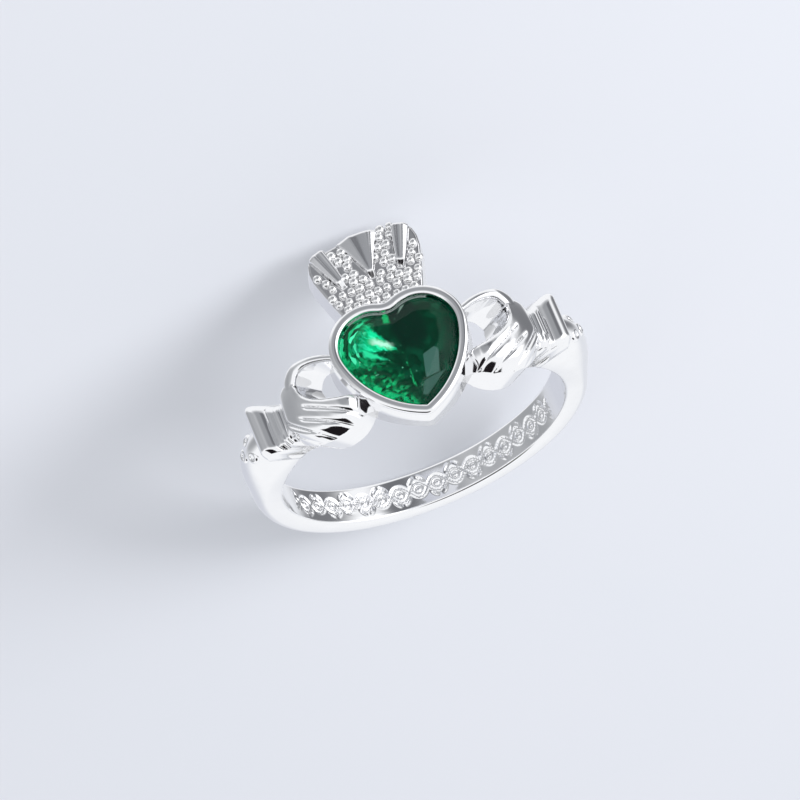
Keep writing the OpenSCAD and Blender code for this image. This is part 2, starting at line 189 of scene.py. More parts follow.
def round_off(distance, radius):
    """Drop of a rounded edge at a distance from it."""
    return radius * (1 - np.sqrt(1 - (1 - np.clip(distance / radius, 0, 1)) ** 2))


def bevel(distance, run, soft):
    """Drop of a slanted edge at a distance from it, with rounded corners."""
    left = run - distance
    return (left + np.sqrt(left**2 + soft**2)) / 2


def smooth_rows(rows, share):
    """Columns of a table at each share, along smooth curves through its rows."""
    table = np.array(rows, float)
    x, y = table[:, 0], table[:, 1:]
    slope = np.gradient(y, x, axis=0)
    s = np.clip(np.asarray(share, float), x[0], x[-1])
    i = np.clip(np.searchsorted(x, s, side="right") - 1, 0, len(x) - 2)
    h = (x[i + 1] - x[i])[..., None]
    u = (s - x[i])[..., None] / h
    return ((2 * u**3 - 3 * u**2 + 1) * y[i] + (u**3 - 2 * u**2 + u) * h * slope[i]
            + (3 * u**2 - 2 * u**3) * y[i + 1] + (u**3 - u**2) * h * slope[i + 1])


# Meshes

def piece(name, points, faces, smooth=True):
    """Closed mesh object from wearer's points, with its faces turned outwards."""
    points = laid(points) * MM
    mesh = bpy.data.meshes.new(name)
    mesh.from_pydata(points.tolist(), [], [list(map(int, f)) for f in faces])
    mesh.update()
    volume = sum(f.area * f.center.dot(f.normal) for f in mesh.polygons)
    if volume < 0:
        mesh.flip_normals()
    mesh.polygons.foreach_set("use_smooth", [smooth] * len(mesh.polygons))
    obj = bpy.data.objects.new(name, mesh)
    bpy.context.scene.collection.objects.link(obj)
    return obj


def sweep_faces(rows, cols, closed):
    """Quads between rows of points that run round, with both ends capped unless the sweep closes."""
    faces = []
    for i in range(rows if closed else rows - 1):
        k = (i + 1) % rows
        for j in range(cols):
            m = (j + 1) % cols
            faces.append([i * cols + j, i * cols + m, k * cols + m, k * cols + j])
    if not closed:
        faces.append(list(range(cols - 1, -1, -1)))
        faces.append([(rows - 1) * cols + j for j in range(cols)])
    return faces


def sweep(name, sections, closed=False, smooth=True):
    """Piece through sections, given as an array of rows, their points and three coordinates."""
    rows, cols = sections.shape[:2]
    return piece(name, sections.reshape(-1, 3), sweep_faces(rows, cols, closed), smooth)


def fuse(name, parts, melt):
    """One skin around several closed pieces, with its creases melted a little as in a casting."""
    for other in bpy.context.scene.objects:
        other.select_set(other in parts)
    bpy.context.view_layer.objects.active = parts[0]
    bpy.ops.object.join()
    whole = parts[0]
    whole.name = name
    whole.data.name = name
    skin = whole.modifiers.new("skin", "REMESH")
    skin.mode = "VOXEL"
    skin.voxel_size = SKIN_VOXEL * MM
    skin.use_smooth_shade = True
    soften = whole.modifiers.new("melt", "SMOOTH")
    soften.factor = 0.5
    soften.iterations = melt
    for modifier in list(whole.modifiers):
        bpy.ops.object.modifier_apply(modifier=modifier.name)
    whole.select_set(False)
    return whole


def mirrored(points):
    """The same points on the other side of the ring."""
    return points * np.array([-1, 1, 1])


def at_height(outline, z):
    """Points of a flat outline at one height, or each at its own."""
    return np.column_stack([outline, np.full(len(outline), z)])


def hole_height(outline):
    """Height of the finger hole's wall behind each point of a flat outline."""
    return np.sqrt(hole_r(outline[:, 1]) ** 2 - outline[:, 0] ** 2)


def hole_side(outline):
    """Rows that cover an outline's side towards the finger, on the wall of the finger hole."""
    rows = []
    for share in np.linspace(0.02, 1, 9):
        narrowed = outline * [share, 1]
        rows.append(at_height(narrowed, hole_height(narrowed)))
    return rows


# Heart outline

LOBE = np.array([LOBE_X, LOBE_Y])
CLEFT = np.array([0, LOBE_Y + math.sqrt((LOBE_R + CLEFT_R) ** 2 - LOBE_X**2)])
TIP = np.array([0, TIP_R - TIP_DROP])


def side_centre():
    """Middle of the long right side's arc, which touches the lobe and the tip."""
    gap = TIP - LOBE
    d = np.linalg.norm(gap)
    r0, r1 = SIDE_R - LOBE_R, SIDE_R - TIP_R
    a = (r0**2 - r1**2 + d**2) / (2 * d)
    h = math.sqrt(r0**2 - a**2)
    u = gap / d
    return LOBE + a * u + h * np.array([u[1], -u[0]])


SIDE = side_centre()


def heart(inset, steps):
    """Outline moved inwards by inset, counter-clockwise from the cleft.
    steps gives the points on each half's cleft, lobe, side and tip."""
    tip_r = max(TIP_R - inset, LEAST_TIP_R)
    side_r = SIDE_R - inset
    tip = np.array([0, SIDE[1] - math.sqrt((side_r - tip_r) ** 2 - SIDE[0] ** 2)])
    lobe_from = math.degrees(math.atan2(*(CLEFT - LOBE)[::-1]))
    lobe_to = math.degrees(math.atan2(*(LOBE - SIDE)[::-1]))
    side_to = math.degrees(math.atan2(tip[1] - SIDE[1], -SIDE[0]))
    arcs = ((CLEFT, CLEFT_R + inset, -90, lobe_from - 180, 0),
            (LOBE, LOBE_R - inset, lobe_from, lobe_to, 0),
            (SIDE, side_r, lobe_to, side_to, 0),
            (tip, tip_r, side_to, -90, 1))
    half = []
    for (centre, radius, start, end, last), count in zip(arcs, steps):
        a = np.radians(mix(start, end, np.arange(count + last) / count))
        half.append(centre + radius * np.stack([np.cos(a), np.sin(a)], -1))
    half = np.concatenate(half)
    left = half * [-1, 1]
    return np.concatenate([left, half[-2:0:-1]])


# Band

def shoulder_share(angle):
    """0 at the palm, 1 at the shoulder, at an angle from the heart in degrees."""
    return ease((THICK_FROM - angle) / (THICK_FROM - THICK_TO))


def arc_mm(angle):
    """Distance along the inside of the band from the middle of the palm."""
    return np.radians(angle - 180) * BORE_R


def stroke(distance, width):
    """1 on a line, falling to 0 at its width."""
    return 1 - ease(np.abs(distance) / width)


def engraving(s, y):
    """Depth of the running pattern inside the band, 0 to 1, at an arc length and a place across:
    two stems that cross each other, a leaf outside each bend and small ring-shaped buds."""
    reach = ease((PATTERN_REACH - np.abs(s)) / PATTERN_FADE)
    phase = 2 * np.pi * s / PATTERN_PITCH
    run = np.sqrt(1 + (STEM_SWAY * 2 * np.pi / PATTERN_PITCH * np.cos(phase)) ** 2)
    cut = 0
    for side in (-1, 1):
        stem = side * STEM_SWAY * np.sin(phase)
        cut = np.maximum(cut, stroke((y - stem) / run, STEM_W))
        at = ((s / PATTERN_PITCH + side * 0.25) % 1 - 0.5) * PATTERN_PITCH
        for lean in (-1, 1):
            u, v = at - lean * LEAF_AHEAD, y * side - LEAF_ACROSS
            leaf = np.hypot(u * LEAF_COS + v * LEAF_SIN * lean,
                            (v * LEAF_COS - u * LEAF_SIN * lean) / LEAF_SLIM)
            cut = np.maximum(cut, stroke(leaf, LEAF_W))
    bud = np.abs((s / PATTERN_PITCH * 2 + 0.5) % 1 - 0.5) * PATTERN_PITCH / 2
    cut = np.maximum(cut, stroke(np.hypot(np.abs(bud - PATTERN_PITCH / 4), y) - BUD_R, BUD_W))
    uneven = 0.8 + 0.2 * np.sin(29 * s) * np.sin(23 * y)
    return cut * reach * uneven


def band():
    """Round-backed band with eased edges, engraved inside the palm."""
    start = mix(CUFF_FROM, CUFF_TO, BAND_START)
    angle = np.concatenate([np.linspace(start, FINE_FROM, 70, endpoint=False),
                            np.linspace(FINE_FROM, 360 - FINE_FROM, 460, endpoint=False),
                            np.linspace(360 - FINE_FROM, 360 - start, 71)])
    s = shoulder_share(np.minimum(angle, 360 - angle))[:, None]
    seen_w, floor_w = mix(PALM_W, SHOULDER_W, s) / 2, mix(FLOOR_SIDE_W, SHOULDER_W, s) / 2
    seen_h, floor_h = mix(EDGE_H, SHOULDER_SIDE_H, s), mix(FLOOR_SIDE_H, SHOULDER_SIDE_H, s)
    thick = mix(PALM_T, SHOULDER_T, s)
    inside = mix(INNER_EASE - seen_w, floor_w - INNER_EASE, np.linspace(0, 1, 46)[None, :])
    depth = PATTERN_D * engraving(arc_mm(angle)[:, None], inside + PATTERN_SHIFT)
    bend = np.radians(np.linspace(0, 90, 6)[1:])[None, :]
    corner_y = INNER_EASE * (np.sin(bend) - 1) + np.zeros(floor_w.shape)
    corner_r = BORE_R + INNER_EASE * (1 - np.cos(bend)) + np.zeros(floor_w.shape)
    back = np.radians(np.linspace(0, 180, 33))[None, :]
    on_floor_side = np.cos(back) > 0
    back_y = np.where(on_floor_side, floor_w, seen_w) * np.cos(back)
    side_h = np.where(on_floor_side, floor_h, seen_h)
    back_r = BORE_R + side_h + (thick - side_h) * np.sin(back)
    along = np.concatenate([inside, floor_w + corner_y, back_y, -(seen_w + corner_y)[:, ::-1]], 1)
    radius = np.concatenate([hole_r(inside) + depth, corner_r, back_r, corner_r[:, ::-1]], 1)
    return sweep("band", around(angle[:, None], radius, along))


def shoulder_ring(across, towards_palm):
    """Points of one small ring on the right shoulder, set on the band's round back."""
    a = CUFF_TO + arc_deg(RINGS_PAST_CUFF * RING_R, BORE_R + SHOULDER_T)
    a += arc_deg(towards_palm * RING_R, BORE_R + SHOULDER_T)
    s = float(shoulder_share(a))
    y = across * RING_R
    half_w = mix(PALM_W, SHOULDER_W, s) / 2
    thick = mix(PALM_T, SHOULDER_T, s)
    drop = (thick - SHOULDER_SIDE_H) * (1 - math.sqrt(1 - (y / half_w) ** 2))
    tilt = math.atan(0.8 * y / half_w)
    turn = np.linspace(0, 2 * np.pi, 40, endpoint=False)[:, None]
    tube = np.linspace(0, 2 * np.pi, 14, endpoint=False)[None, :]
    reach = RING_R - RING_WIRE + RING_WIRE * np.cos(tube)
    ring = np.stack(np.broadcast_arrays(reach * np.cos(turn), reach * np.sin(turn),
                                        RING_WIRE * np.sin(tube)), -1)
    ring = ring @ np.array(Matrix.Rotation(tilt, 3, "X"))
    ring += [0, y, BORE_R + thick - drop - RING_WIRE + RING_LIFT]
    return ring @ np.array(Matrix.Rotation(math.radians(a), 3, "Y")).T


def shoulder_rings():
    """Small raised rings, three on each shoulder: two side by side and one nearer to the palm."""
    made = []
    for side, place in ((1, "right"), (-1, "left")):
        for number, (across, towards_palm) in enumerate(RING_PLACES):
            ring = shoulder_ring(across, towards_palm)
            made.append(sweep(f"shoulder_ring_{place}_{number + 1}",
                              ring if side > 0 else mirrored(ring), closed=True))
    return made


# Cuffs: share of the cuff's length, lower and upper end as shares of CUFF_W
CUFF_ROWS = (
    (-0.14, -0.49, 0.24),
    (0.00, -0.50, 0.28),
    (0.14, -0.49, 0.31),
    (0.24, -0.47, 0.36),
    (0.48, -0.44, 0.46),
    (0.68, -0.42, 0.56),
    (0.78, -0.41, 0.60),
    (0.88, -0.41, 0.63),
    (1.00, -0.42, 0.64),
    (1.07, -0.42, 0.61),
    (1.13, -0.38, 0.52))

# Cuff's section: each ridge's middle and half width as shares of its length, heights as
# shares of CUFF_H, then its hollow, edges and flutes
OUTER_RIDGE, INNER_RIDGE = (0.79, 0.34), (0.01, 0.15)
CUFF_LEVEL, OUTER_RISE, INNER_RISE = 0.80, 0.20, 0.11
CUFF_HOLLOW, CUFF_BEVEL, CUFF_ROUND = 0.10, 0.36, 0.5
FLUTES, FLUTE_D = 7.5, 0.06


def rod(share, middle, half):
    """Height of a half-round rod over its width, 0 to 1."""
    return np.sqrt(np.clip(1 - ((share - middle) / half) ** 2, 0, 1))


def cuff(name, side):
    """Collar at the wrist: two ridges along the finger with a fluted hollow between them."""
    share = np.linspace(CUFF_ROWS[0][0], CUFF_ROWS[-1][0], 140)
    low, high = CUFF_W * smooth_rows(CUFF_ROWS, share).T[..., None]
    share = share[:, None]
    y = mix(low, high, np.linspace(0, 1, 80)[None, :])
    outer, inner = rod(share, *OUTER_RIDGE), rod(share, *INNER_RIDGE)
    hollow = 1 - np.maximum(outer, inner)
    flutes = (FLUTE_D * np.sin(2 * np.pi * share * FLUTES) * ease((low + 1.0 - y) / 0.8)
              * ease((0.5 - share) / 0.2))
    ridges = CUFF_LEVEL + OUTER_RISE * outer**1.4 + INNER_RISE * inner
    top = (BORE_R + CUFF_H * ridges + flutes - CUFF_HOLLOW * hollow
           - bevel(1.15 * (y - low), CUFF_BEVEL, 0.10) - round_off(high - y, CUFF_ROUND))
    radius = np.concatenate([hole_r(low), top, hole_r(high)], 1)
    along = np.concatenate([low, y, high], 1)
    points = around(mix(CUFF_FROM, CUFF_TO, share), radius, along)
    return sweep(name, points if side > 0 else mirrored(points))


# Hand: share of the hand's length from heart to cuff, lower edge as a share of
# FINGER_DROP, upper edge as a share of THUMB_RISE, thickness as a share of HAND_T
HAND_ROWS = (
    (-0.18, -0.62, -0.54, 0.40),
    (-0.05, -0.68, -0.51, 0.52),
    (0.00, -0.76, -0.50, 0.74),
    (0.05, -0.83, -0.49, 0.86),
    (0.14, -0.92, -0.45, 0.93),
    (0.25, -0.98, -0.35, 0.96),
    (0.36, -1.00, -0.23, 0.98),
    (0.44, -1.00, -0.10, 1.00),
    (0.50, -0.98, 0.05, 1.00),
    (0.54, -0.96, 0.20, 0.998),
    (0.57, -0.95, 0.46, 0.995),
    (0.60, -0.93, 0.70, 0.99),
    (0.64, -0.90, 0.79, 0.98),
    (0.72, -0.82, 0.745, 0.955),
    (0.82, -0.70, 0.63, 0.905),
    (0.88, -0.62, 0.54, 0.84),
    (0.93, -0.55, 0.48, 0.74),
    (0.98, -0.48, 0.40, 0.60),
    (1.06, -0.42, 0.34, 0.50))

# Grooves between the fingers, each from the heart's side to the wrist's: share of the
# hand's length and place along the finger hole's axis in millimetres
GROOVES = (((0.02, -2.30), (0.57, -0.42)), ((0.15, -2.75), (0.66, -0.90)),
           ((0.36, -3.02), (0.88, -0.52)), ((0.53, -2.90), (0.97, -0.72)))
GROOVE_D = 0.3
FINGER_HALF_W = 0.27

# Hand's dome, the bend of its fingertips and its edges
HAND_DOME, FINGERTIP_BEND, FINGERTIP_LEN = 0.34, 0.25, 1.6
FINGERTIP_BEVEL, FINGERTIP_SOFT = 0.58, 0.24
TOP_ROUND, THUMB_ROUND = 0.34, 0.32

# Thumb: share of the hand's length, inner and outer edge as shares of
# THUMB_RISE, thickness as a share of HAND_T
THUMB_ROWS = (
    (0.03, 0.54, 0.74, 0.72),
    (0.10, 0.61, 0.81, 0.76),
    (0.22, 0.71, 0.92, 0.84),
    (0.34, 0.76, 0.98, 0.91),
    (0.44, 0.74, 1.00, 0.95),
    (0.51, 0.64, 0.99, 0.97),
    (0.56, 0.50, 0.96, 0.965),
    (0.62, 0.36, 0.905, 0.945),
    (0.70, 0.30, 0.81, 0.89),
    (0.78, 0.24, 0.68, 0.78))


def finger_grooves(s, y):
    """Depth below the crests of the fingers, a rounded ridge between each two grooves."""
    depth = np.zeros(np.broadcast_shapes(s.shape, y.shape))
    for (s0, y0), (s1, y1) in GROOVES:
        slant = math.atan2(y1 - y0, (s1 - s0) * HAND_LEN)
        across = np.abs(y - mix(y0, y1, (s - s0) / (s1 - s0))) * math.cos(slant)
        depth = np.maximum(depth, round_off(across, FINGER_HALF_W) * ease((s1 + 0.02 - s) / 0.08))
    return depth * GROOVE_D / FINGER_HALF_W


def fingers():
    """Rows of points across the right hand's fingers and back."""
    s = np.linspace(HAND_ROWS[0][0], HAND_ROWS[-1][0], 170)[:, None]
    low, high, thick = smooth_rows(HAND_ROWS, s[:, 0]).T[..., None]
    low, high, thick = low * FINGER_DROP, high * THUMB_RISE, thick * HAND_T
    y = mix(low, high, np.linspace(0, 1, 110)[None, :])
    dome = HAND_DOME * np.clip((y + 0.5) / 2.2, 0, 1) ** 2 * ease((s - 0.5) / 0.12)
    bend = FINGERTIP_BEND * np.clip((low + FINGERTIP_LEN - y) / FINGERTIP_LEN, 0, 1) ** 2
    grooves = finger_grooves(s, y) * mix(0.5, 1, ease((y - low - 0.2) / 0.7))
    top = (BORE_R + thick - bend - dome - bevel(y - low, FINGERTIP_BEVEL, FINGERTIP_SOFT)
           - round_off(high - y, TOP_ROUND) - grooves)
    radius = np.concatenate([hole_r(low), top, hole_r(high)], 1)
    along = np.concatenate([low, y, high], 1)
    return around(mix(HAND_FROM, HAND_TO, s), radius, along)


def thumb():
    """Rows of points across the right hand's round-topped thumb."""
    s = np.linspace(THUMB_ROWS[0][0], THUMB_ROWS[-1][0], 90)[:, None]
    near, far, thick = smooth_rows(THUMB_ROWS, s[:, 0]).T[..., None]
    near, far = near * THUMB_RISE, far * THUMB_RISE
    bend = np.radians(np.linspace(0, 180, 25))[None, :]
    top = BORE_R + thick * HAND_T - THUMB_ROUND + THUMB_ROUND * np.sin(bend) ** 0.7
    across = (near + far) / 2 - (far - near) / 2 * np.cos(bend)
    radius = np.concatenate([hole_r(near), top, hole_r(far)], 1)
    along = np.concatenate([near, across, far], 1)
    return around(mix(HAND_FROM, HAND_TO, s), radius, along)


def hand(name, side):
    """Fingers and thumb, cast in one: a gap is left open between them."""
    parts = [sweep(part_name, points if side > 0 else mirrored(points))
             for part_name, points in ((name, fingers()), (name + "_thumb", thumb()))]
    return fuse(name, parts, 3)


# Setting

# Points on each half's cleft, lobe, side and tip, and the clearance of the setting's
# pieces from the wall of the finger hole, so that no two of them share a face
FINE = (10, 44, 34, 10)
BEZEL_CLEAR, FLOOR_CLEAR = 0.03, 0.02


def bezel():
    """Wall with a rolled rim around the stone, down to the finger hole.
    Each point of its section is an inset and a height. No height stands for the finger hole's
    wall, and a height below 1 for a share of the way from that wall to the rim."""
    lip = GIRDLE_Z + STONE_GAP
    ledge = GIRDLE_INSET - STONE_GAP
    turn = np.radians(np.linspace(-75, 180, 32))
    lift = np.sign(np.sin(turn)) * np.abs(np.sin(turn)) ** 0.85
    middle, half = (RIM_W - RIM_OUT) / 2, (RIM_W + RIM_OUT) / 2
    section = [(-BEZEL_FLARE, None), (-0.4 * BEZEL_FLARE, 0.5), (0, RIM_Z - 2.6 * RIM_ROLL),
               (0, RIM_Z - 2 * RIM_ROLL)]
    section += zip(middle - half * np.cos(turn), RIM_Z - RIM_ROLL + RIM_ROLL * lift)
    section += [(RIM_W, lip), (ledge, lip), (ledge, GIRDLE_Z - GIRDLE_T - STONE_GAP),
                (SEAT_INSET, SEAT_Z), (SEAT_INSET, None)]
    section += [(mix(SEAT_INSET, -BEZEL_FLARE, share), None) for share in (0.25, 0.5, 0.75)]
    rows = []
    for inset, z in section:
        outline = heart(inset, FINE)
        if z is None:
            z = hole_height(outline) + BEZEL_CLEAR
        elif z < 1:
            z = mix(hole_height(outline), RIM_Z, z)
        rows.append(at_height(outline, z))
    return sweep("bezel", np.array(rows), closed=True)


def bezel_floor():
    """Floor under the stone, down to the wall of the finger hole behind it."""
    outline = heart(SEAT_INSET - WELD, FINE)
    rows = hole_side(outline) + [at_height(outline, SEAT_Z)]
    return sweep("bezel_floor", np.array(rows) + [0, 0, FLOOR_CLEAR])


# Crown outline: half width as a share of half CROWN_W, height above the heart as
# a share of CROWN_LEN. The rays' apex and end are given in the same shares
CROWN_ROWS = (
    (0.74, -0.42), (0.76, 0.02), (0.83, 0.16), (1.00, 0.58), (1.01, 0.72), (0.98, 0.82),
    (0.93, 0.88), (0.78, 0.90), (0.58, 0.925), (0.38, 0.95), (0.28, 0.96))
MID_RAY = ((0, 0.335), (0, 1))
SIDE_RAY = ((0.53, 0.34), (0.80, 0.93))

# Plate's eased edge: how far it spreads, and how far it is below the plate's face
PLATE_EDGE = ((0.2 * CROWN_FLARE, 0.12), (-0.02, 0.05), (-0.07, 0.01), (-0.12, 0))

# Rays: how they taper, the least half width, how far they sink into the plate and bow back
# at their sides, then the share of their length where the end rolls over and its own share
MID_TAPER, SIDE_TAPER = 1, 0.4
APEX_HALF_W, RAY_SINK, RAY_BOW = 0.2, 0.25, 0.26
ROLL_FROM, ROLL_LEN = 0.92, 0.08

# Sections of the rays: place across, -1 to 1, and depth below the crest, or None at the
# foot. A fan with a flat face, a fold, a hollow face and a slanted edge, and a rod with
# a shallow groove
FAN = ((-1, None), (-0.98, 0.24), (-0.94, 0.17), (-0.38, 0.01), (-0.33, 0), (-0.27, 0.012),
       (-0.08, 0.065), (0.02, 0.08), (0.15, 0.088), (0.30, 0.09), (0.42, 0.08), (0.55, 0.05),
       (0.60, 0.12), (0.65, 0.02), (0.70, 0.025), (0.94, 0.16), (0.98, 0.24), (1, None))
ROD = ((-1, None), (-0.96, 0.16), (-0.85, 0.06), (-0.66, 0), (-0.52, 0), (-0.3, 0.04), (-0.1, 0.05),
       (0.1, 0.04), (0.3, 0), (0.44, 0.008), (0.90, 0.13), (0.96, 0.2), (1, None))


def crown_place(share):
    """Point on the crown from its shares across and along."""
    return np.array([share[0] * CROWN_W / 2, HEART_TOP + share[1] * CROWN_LEN])


def crown_outline(spread):
    """Outline of the crown, moved outwards by spread."""
    side = np.array([crown_place(row) for row in CROWN_ROWS])
    ahead = np.roll(side, -1, 0)
    ahead[-1] = side[-1]
    behind = np.roll(side, 1, 0)
    behind[0] = side[0]
    u = ahead - behind
    u /= np.linalg.norm(u, axis=1)[:, None]
    side = side + spread * np.stack([u[:, 1], -u[:, 0]], -1)
    return np.concatenate([side, side[::-1] * [-1, 1]])


def ray(line, end_w, taper, profile, side=1):
    """Ridge that climbs and widens from its slanted apex to the crown's end, with a rolled end."""
    start, end = crown_place(line[0]), crown_place(line[1])
    run = np.linalg.norm(end - start)
    u = (end - start) / run
    across = np.array([u[1], -u[0]])
    turn = np.radians(np.linspace(9, 90, 9))
    share = np.concatenate([np.linspace(0.0, ROLL_FROM, 60), ROLL_FROM + ROLL_LEN * np.sin(turn)])
    roll = np.sqrt(np.clip(1 - ((share - ROLL_FROM) / ROLL_LEN).clip(0, 1) ** 2, 0, 1))
    foot_z = BORE_R + PLATE_T
    rows = []
    for s, r in zip(share, roll):
        half = max(s**taper * end_w / 2, APEX_HALF_W)
        crest = (RAY_H - bevel(1.15 * s * run, RAY_H + 0.04, 0.06)) * mix(0.1, 1, r)
        deep = 2 * half / end_w * r * min(1, s / 0.25)
        bow = RAY_BOW * end_w / MID_RAY_W * ease((s - 0.6) / 0.4)
        rows.append([np.append(start + u * (s * run - bow * abs(p) ** 3) + across * half * p,
                               foot_z - RAY_SINK if d is None else foot_z + crest - d * deep)
                     for p, d in profile])
    rows = np.array(rows)
    return rows if side > 0 else mirrored(rows)


def off_ray(point, line, end_w, taper):
    """Distance of a point from a ray's side, below 0 on the ray."""
    start, end = crown_place(line[0]), crown_place(line[1])
    run = np.linalg.norm(end - start)
    u = (end - start) / run
    q = point - start
    along = q @ u
    if along < 0:
        return np.linalg.norm(q)
    return abs(q[0] * u[1] - q[1] * u[0]) - (along / run) ** taper * end_w / 2


def half_width(y):
    """Half width of the crown at a place along the finger."""
    rows = np.array([crown_place(row) for row in CROWN_ROWS])
    return np.interp(y, rows[:, 1], rows[:, 0])


def bead_places():
    """Middles and radii of the beads, in offset rows clear of the rays, the edge and the heart."""
    rows = math.ceil(CROWN_LEN / (BEAD_PITCH * BEAD_ROW)) + 2
    cols = math.ceil(CROWN_W / 2 / BEAD_PITCH)
    for j in range(rows):
        for i in range(-cols, cols + 1):
            p = np.array([(i + (j % 2) / 2) * BEAD_PITCH, HEART_TOP - WELD + j * BEAD_PITCH * BEAD_ROW])
            p += 0.05 * np.array([math.sin(5 * i + 3 * j), math.cos(7 * i - 4 * j)])
            q = np.array([abs(p[0]), p[1]])
            if (p[1] < HEART_TOP + 0.94 * CROWN_LEN and q[0] < half_width(p[1] - 0.25) - BEAD_MARGIN
                    and np.linalg.norm(q - LOBE) > LOBE_R + 0.1
                    and off_ray(p, MID_RAY, MID_RAY_W, MID_TAPER) > BEAD_MARGIN
                    and off_ray(q, SIDE_RAY, SIDE_RAY_W, SIDE_TAPER) > BEAD_MARGIN):
                yield p, BEAD_D * (0.5 + 0.05 * math.sin(11 * i + 6 * j))


def beads():
    """Round beads set close together on the crown's plate."""
    rings, sides = 9, 18
    lat = np.radians(np.linspace(-90, 90, rings + 2)[1:-1])[:, None]
    lon = np.radians(np.linspace(0, 360, sides, endpoint=False))[None, :]
    ball = np.stack(np.broadcast_arrays(np.cos(lat) * np.cos(lon), np.cos(lat) * np.sin(lon),
                                        np.sin(lat)), -1).reshape(-1, 3)
    pattern = np.array(sweep_faces(rings, sides, False)[:-2])
    points, faces = [], []
    for number, (place, radius) in enumerate(bead_places()):
        points.append(np.append(place, BORE_R + PLATE_T + BEAD_LIFT) + radius * ball)
        first = number * len(ball)
        faces += (pattern + first).tolist()
        faces += [[first + i for i in range(sides - 1, -1, -1)],
                  [first + len(ball) - sides + i for i in range(sides)]]
    return piece("beads", np.concatenate(points), faces)


def crown():
    """Plate with an eased edge, down to the finger hole, with a middle ray and two side rays."""
    rows = hole_side(crown_outline(CROWN_FLARE))
    rows += [at_height(crown_outline(spread), BORE_R + PLATE_T - below) for spread, below in PLATE_EDGE]
    parts = [sweep("crown", np.array(rows), smooth=False),
             sweep("ray_mid", ray(MID_RAY, MID_RAY_W, MID_TAPER, FAN))]
    parts += [sweep("ray_side", ray(SIDE_RAY, SIDE_RAY_W, SIDE_TAPER, ROD, side)) for side in (1, -1)]
    return fuse("crown", parts, 2)


# Stone

# Points on each half's cleft, lobe, side and tip
STONE_STEPS, CORE_STEPS = (1, 6, 4, 1), (3, 18, 12, 3)

# How far inside the girdle the inner body is
CORE_INSET = 0.08


def green_heart():
    """Heart-cut stone: a flat table, a ring of facets, a girdle and a faceted back."""
    girdle = heart(GIRDLE_INSET, STONE_STEPS)
    table = heart(GIRDLE_INSET + FACET_W, STONE_STEPS)[::2]
    n, half = len(girdle), len(girdle) // 2
    middle = np.array([0, 0.2 * HEART_TOP])
    belly = mix(girdle, middle, 0.36)[1::2]
    keel = mix(girdle, middle, 0.78)[::2]
    girdle_end = GIRDLE_Z - GIRDLE_T
    points = np.concatenate([
        at_height(girdle, GIRDLE_Z), at_height(girdle, girdle_end),
        at_height(table, GIRDLE_Z + FACET_H), at_height(belly, girdle_end - 0.62 * PAVILION_H),
        at_height(keel, CULET_Z)])

    # Numbers of the points in each ring, which run on past its end
    def top(i):
        return i % n

    def low(i):
        return n + i % n

    def tab(i):
        return 2 * n + i % half

    def mid(i):
        return 2 * n + half + i % half

    def back(i):
        return 2 * n + 2 * half + i % half

    faces = [[tab(i) for i in range(half)], [back(i) for i in range(half - 1, -1, -1)]]
    faces += [[low(i), low(i + 1), top(i + 1), top(i)] for i in range(n)]
    for i in range(half):
        faces += [[tab(i + 1), tab(i), top(2 * i + 1)], [top(2 * i + 1), tab(i), top(2 * i)],
                  [top(2 * i), tab(i), top(2 * i - 1)]]
        faces += [[low(2 * i), low(2 * i + 1), mid(i)], [low(2 * i + 1), low(2 * i + 2), mid(i)],
                  [mid(i), low(2 * i + 2), mid(i + 1)],
                  [back(i + 1), mid(i), mid(i + 1)], [back(i + 1), back(i), mid(i)]]
    return piece("green_heart", points, faces, smooth=False)


def stone_core():
    """Body inside the clear stone that glows with painted light."""
    inset = GIRDLE_INSET + CORE_INSET
    levels = ((inset + 0.25, GIRDLE_Z + 0.10), (inset, GIRDLE_Z - 0.03),
              (inset + 0.06, GIRDLE_Z - GIRDLE_T - 0.02), (inset + 0.55, CULET_Z + 0.45))
    rows = [at_height(heart(level, CORE_STEPS), z) for level, z in levels]
    return sweep("stone_core", np.array(rows), smooth=False)


# Shader maths

class Field:
    """One socket of a node tree, so that shader maths is written as plain expressions."""

    def __init__(self, finish, socket):
        self.finish, self.socket = finish, socket

    def _math(self, operation, *values):
        return self.finish.add("ShaderNodeMath", {"operation": operation}, dict(enumerate(values)))

    def __add__(self, other):
        return self._math("ADD", self, other)

    def __sub__(self, other):
        return self._math("SUBTRACT", self, other)

    def turn_from(self, other):
        """Angle, in radians, of a direction with this rise and the other run."""
        return self._math("ARCTAN2", self, other)

    def __abs__(self):
        return self._math("ABSOLUTE", self)

    def __rsub__(self, other):
        return self._math("SUBTRACT", other, self)

    def __mul__(self, other):
        return self._math("MULTIPLY", self, other)

    def __pow__(self, other):
        return self._math("POWER", self, other)

    __radd__, __rmul__ = __add__, __mul__


